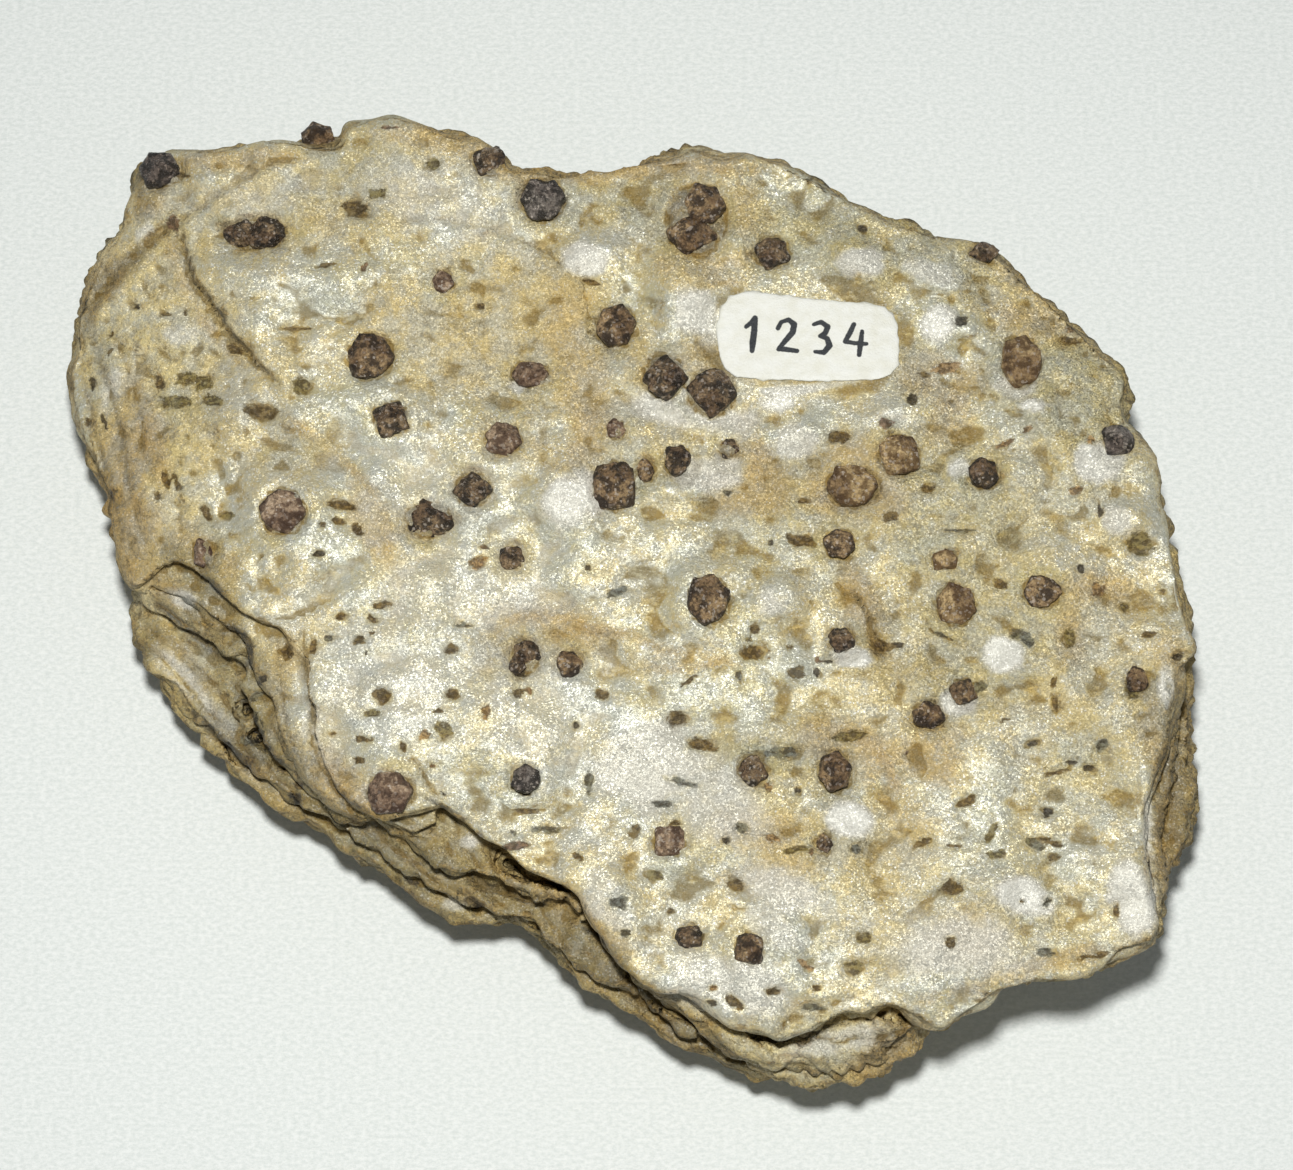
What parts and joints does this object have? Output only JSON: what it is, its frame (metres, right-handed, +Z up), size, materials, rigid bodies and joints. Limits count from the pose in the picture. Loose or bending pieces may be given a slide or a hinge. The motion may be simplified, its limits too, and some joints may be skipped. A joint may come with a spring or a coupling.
{
  "type": "garnet schist",
  "caption": "Hand specimen of silvery mica schist set with red-brown garnet crystals, with a small white painted label patch.",
  "frame": {"origin": "centre of the bounding box, at the level of the flat spot that the stone rests on", "axes": "+X along the stone's long side, +Y away from the viewer, +Z up"},
  "size_m": [0.1412, 0.1224, 0.0378],
  "materials": {
    "schist": "pearly mica sheen, uneven",
    "plum": "dull to glassy, rough",
    "rust": "dull, iron stained",
    "umber": "dull, pitted",
    "rose": "dull, rough",
    "ochre": "earthy, iron stained",
    "paint": "matte dried paint"
  },
  "bodies": {
    "root": {"schist": "schist", "garnet_01": "plum", "garnet_02": "rust", "garnet_03": "umber", "garnet_04": "plum", "garnet_05": "umber", "garnet_06": "rust", "garnet_07": "umber", "garnet_08": "rose", "garnet_09": "rose", "garnet_10": "rose", "garnet_11": "rust", "garnet_12": "rust", "garnet_13": "umber", "garnet_14": "umber", "garnet_15": "umber", "garnet_16": "rust", "garnet_17": "rust", "garnet_18": "umber", "garnet_19": "rose", "garnet_20": "umber", "garnet_21": "umber", "garnet_22": "umber", "garnet_23": "rose", "garnet_24": "rose", "garnet_25": "rust", "garnet_26": "umber", "garnet_27": "rust", "garnet_28": "rust", "garnet_29": "ochre", "garnet_30": "ochre", "garnet_31": "umber", "garnet_32": "ochre", "garnet_33": "plum", "garnet_34": "umber", "garnet_35": "umber", "garnet_36": "rose", "garnet_37": "plum", "garnet_38": "rose", "garnet_39": "rust", "garnet_40": "rust", "garnet_41": "umber", "garnet_42": "ochre", "garnet_43": "rust", "garnet_44": "rust", "garnet_45": "rust", "garnet_46": "ochre", "garnet_47": "rust", "garnet_48": "rust", "garnet_49": "umber", "garnet_50": "umber", "label": "paint"}
  },
  "joints": []
}
